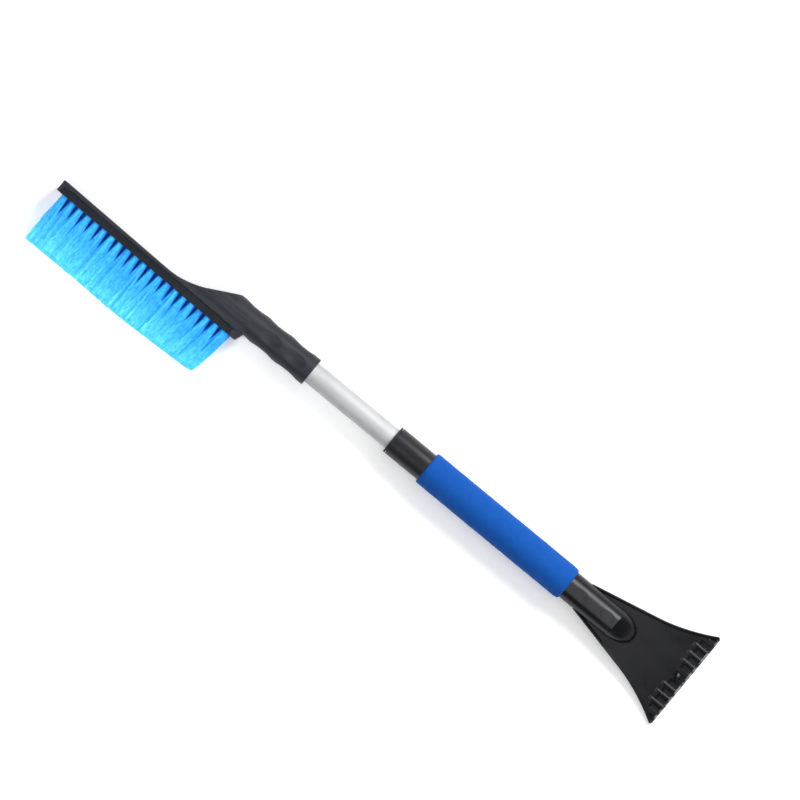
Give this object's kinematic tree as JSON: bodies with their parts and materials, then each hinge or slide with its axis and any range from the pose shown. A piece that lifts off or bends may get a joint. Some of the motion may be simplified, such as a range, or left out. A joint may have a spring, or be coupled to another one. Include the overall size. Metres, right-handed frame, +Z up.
{
  "type": "snow brush scraper",
  "caption": "Telescopic snow brush with a side-facing bristle head, a foam grip and a flared ice scraper blade; the brush slides in and turns on a twist-lock tube.",
  "frame": {"origin": "below the middle of the bounding box of the extended tool, on the plane that it lies on", "axes": "+X along the handle from the brush to the scraper blade, +Y away from the bristle tips, +Z up off the table"},
  "size_m": [0.7192, 0.1204, 0.033],
  "materials": {
    "tube_plastic": "gloss",
    "blade_plastic": "gloss",
    "head_plastic": "satin",
    "foam": "matte",
    "aluminium_tube": "satin",
    "steel": "satin",
    "nylon": "satin",
    "bristle": "matte"
  },
  "bodies": {
    "handle": {"outer_tube": "tube_plastic", "foam_grip": "foam", "guide_bush": "head_plastic", "scraper_blade": "blade_plastic", "scraper_pin_1": "steel", "scraper_pin_2": "steel"},
    "slider": {"lock_ring": "nylon"},
    "brush": {"inner_tube": "aluminium_tube", "lock_plug": "nylon", "plug_pin": "steel", "lock_washer": "steel", "lock_screw": "steel", "brush_head": "head_plastic", "head_screw": "steel", "bristle_strip": "head_plastic", "tuft_upper_01": "bristle", "tuft_upper_02": "bristle", "tuft_upper_03": "bristle", "tuft_upper_04": "bristle", "tuft_upper_05": "bristle", "tuft_upper_06": "bristle", "tuft_upper_07": "bristle", "tuft_upper_08": "bristle", "tuft_upper_09": "bristle", "tuft_upper_10": "bristle", "tuft_upper_11": "bristle", "tuft_upper_12": "bristle", "tuft_upper_13": "bristle", "tuft_upper_14": "bristle", "tuft_upper_15": "bristle", "tuft_upper_16": "bristle", "tuft_upper_17": "bristle", "tuft_upper_18": "bristle", "tuft_upper_19": "bristle", "tuft_upper_20": "bristle", "tuft_upper_21": "bristle", "tuft_lower_01": "bristle", "tuft_lower_02": "bristle", "tuft_lower_03": "bristle", "tuft_lower_04": "bristle", "tuft_lower_05": "bristle", "tuft_lower_06": "bristle", "tuft_lower_07": "bristle", "tuft_lower_08": "bristle", "tuft_lower_09": "bristle", "tuft_lower_10": "bristle", "tuft_lower_11": "bristle", "tuft_lower_12": "bristle", "tuft_lower_13": "bristle", "tuft_lower_14": "bristle", "tuft_lower_15": "bristle", "tuft_lower_16": "bristle", "tuft_lower_17": "bristle", "tuft_lower_18": "bristle", "tuft_lower_19": "bristle", "tuft_lower_20": "bristle"}
  },
  "joints": [
    {"name": "telescope", "type": "slide", "parent": "handle", "child": "slider", "axis": [1, 0, 0], "range_m": [0, 0.094]},
    {"name": "head_twist", "type": "hinge", "parent": "slider", "child": "brush", "pos_m": [0.01565, 0.0102, 0.0165], "axis": [1, 0, 0], "continuous": true}
  ]
}
